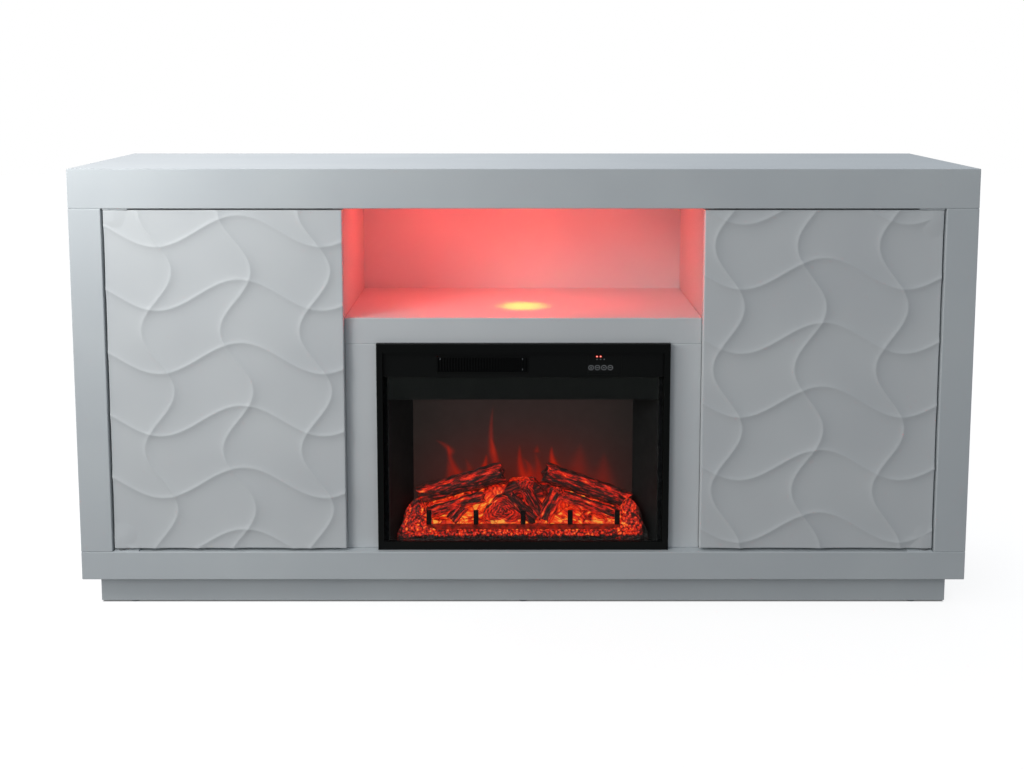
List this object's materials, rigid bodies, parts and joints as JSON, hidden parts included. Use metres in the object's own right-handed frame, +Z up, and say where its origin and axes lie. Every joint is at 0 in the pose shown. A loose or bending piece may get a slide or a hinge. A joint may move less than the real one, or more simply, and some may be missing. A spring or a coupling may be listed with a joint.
{
  "type": "electric fireplace console",
  "caption": "White lacquered media console with carved doors, a lit open niche and an electric log-fire insert with fan heater under it.",
  "frame": {"origin": "on the floor, under the middle of the cabinet's width and depth", "axes": "+X to the right seen from the front, the front faces -Y, +Z up"},
  "size_m": [1.6, 0.4, 0.8],
  "materials": {
    "white_lacquer": "white polyurethane lacquer on board, high gloss",
    "door_lacquer": "white lacquer on carved board, satin",
    "inside_board": "white melamine faced board, satin",
    "back_board": "white painted hardboard, matt",
    "black_steel": "black powder coat, satin",
    "zinc_steel": "zinc plated steel",
    "black_plastic": "black moulded plastic",
    "white_plastic": "white moulded plastic",
    "tempered_glass": "grey tinted tempered glass",
    "screen_acrylic": "smoked translucent acrylic",
    "ember_resin": "translucent ember resin, lit from below",
    "log_resin": "painted log resin, matt",
    "circuit_laminate": "green circuit laminate",
    "diffuser": "frosted lens, lit red",
    "grey_plastic": "grey nylon"
  },
  "bodies": {
    "cabinet": {"top_panel": "white_lacquer", "left_side_panel": "white_lacquer", "right_side_panel": "white_lacquer", "base_panel": "white_lacquer", "plinth_rails": "white_lacquer", "niche_shelf": "white_lacquer", "niche_back": "white_lacquer", "left_stile": "white_lacquer", "right_stile": "white_lacquer", "top_liner": "inside_board", "side_liners": "inside_board", "left_divider": "inside_board", "right_divider": "inside_board", "left_shelf": "inside_board", "right_shelf": "inside_board", "left_back_panel": "back_board", "right_back_panel": "back_board", "centre_back_panel": "back_board", "trim_frame": "black_steel", "firebox_sides": "black_steel", "firebox_ceiling": "black_steel", "log_grate": "black_steel", "insert_housing": "zinc_steel", "insert_brackets": "zinc_steel", "pivot_pins": "zinc_steel", "back_screws": "zinc_steel", "shelf_pins": "zinc_steel", "spindle_brackets": "zinc_steel", "blower_casing": "zinc_steel", "heating_element": "zinc_steel", "spindle_motor": "zinc_steel", "blower_motor": "zinc_steel", "control_fascia": "black_plastic", "outlet_grille": "black_plastic", "touch_lens": "black_plastic", "cord_gland": "black_plastic", "puck_housing": "white_plastic", "led_driver": "white_plastic", "window_glass": "tempered_glass", "flame_screen": "screen_acrylic", "ember_bed": "ember_resin", "left_log": "log_resin", "right_log": "log_resin", "front_logs": "log_resin", "circuit_boards": "circuit_laminate", "led_boards": "circuit_laminate", "puck_lens": "diffuser", "floor_glides": "grey_plastic", "latch_bodies": "grey_plastic"},
    "left_door": {"left_door": "door_lacquer", "left_door_bushes": "grey_plastic", "left_strike_plate": "zinc_steel"},
    "right_door": {"right_door": "door_lacquer", "right_door_bushes": "grey_plastic", "right_strike_plate": "zinc_steel"},
    "left_latch": {"left_latch_plunger": "grey_plastic"},
    "right_latch": {"right_latch_plunger": "grey_plastic"},
    "spindle": {"flame_spindle": "zinc_steel"},
    "blower": {"blower_wheel": "black_plastic"}
  },
  "joints": [
    {"name": "left_door_hinge", "type": "hinge", "parent": "cabinet", "child": "left_door", "pos_m": [-0.727, -0.191, 0.4185], "axis": [0, 0, -1], "range_deg": [0, 105]},
    {"name": "right_door_hinge", "type": "hinge", "parent": "cabinet", "child": "right_door", "pos_m": [0.727, -0.191, 0.4185], "axis": [0, 0, 1], "range_deg": [0, 105]},
    {"name": "left_latch_press", "type": "slide", "parent": "cabinet", "child": "left_latch", "axis": [0, 1, 0], "range_m": [0, 0.004], "stiffness_N_per_m": 400},
    {"name": "right_latch_press", "type": "slide", "parent": "cabinet", "child": "right_latch", "axis": [0, 1, 0], "range_m": [0, 0.004], "stiffness_N_per_m": 400},
    {"name": "spindle_spin", "type": "hinge", "parent": "cabinet", "child": "spindle", "pos_m": [0, -0.065, 0.1512], "axis": [1, 0, 0], "continuous": true},
    {"name": "blower_spin", "type": "hinge", "parent": "cabinet", "child": "blower", "pos_m": [-0.073, -0.092, 0.427], "axis": [1, 0, 0], "continuous": true}
  ]
}
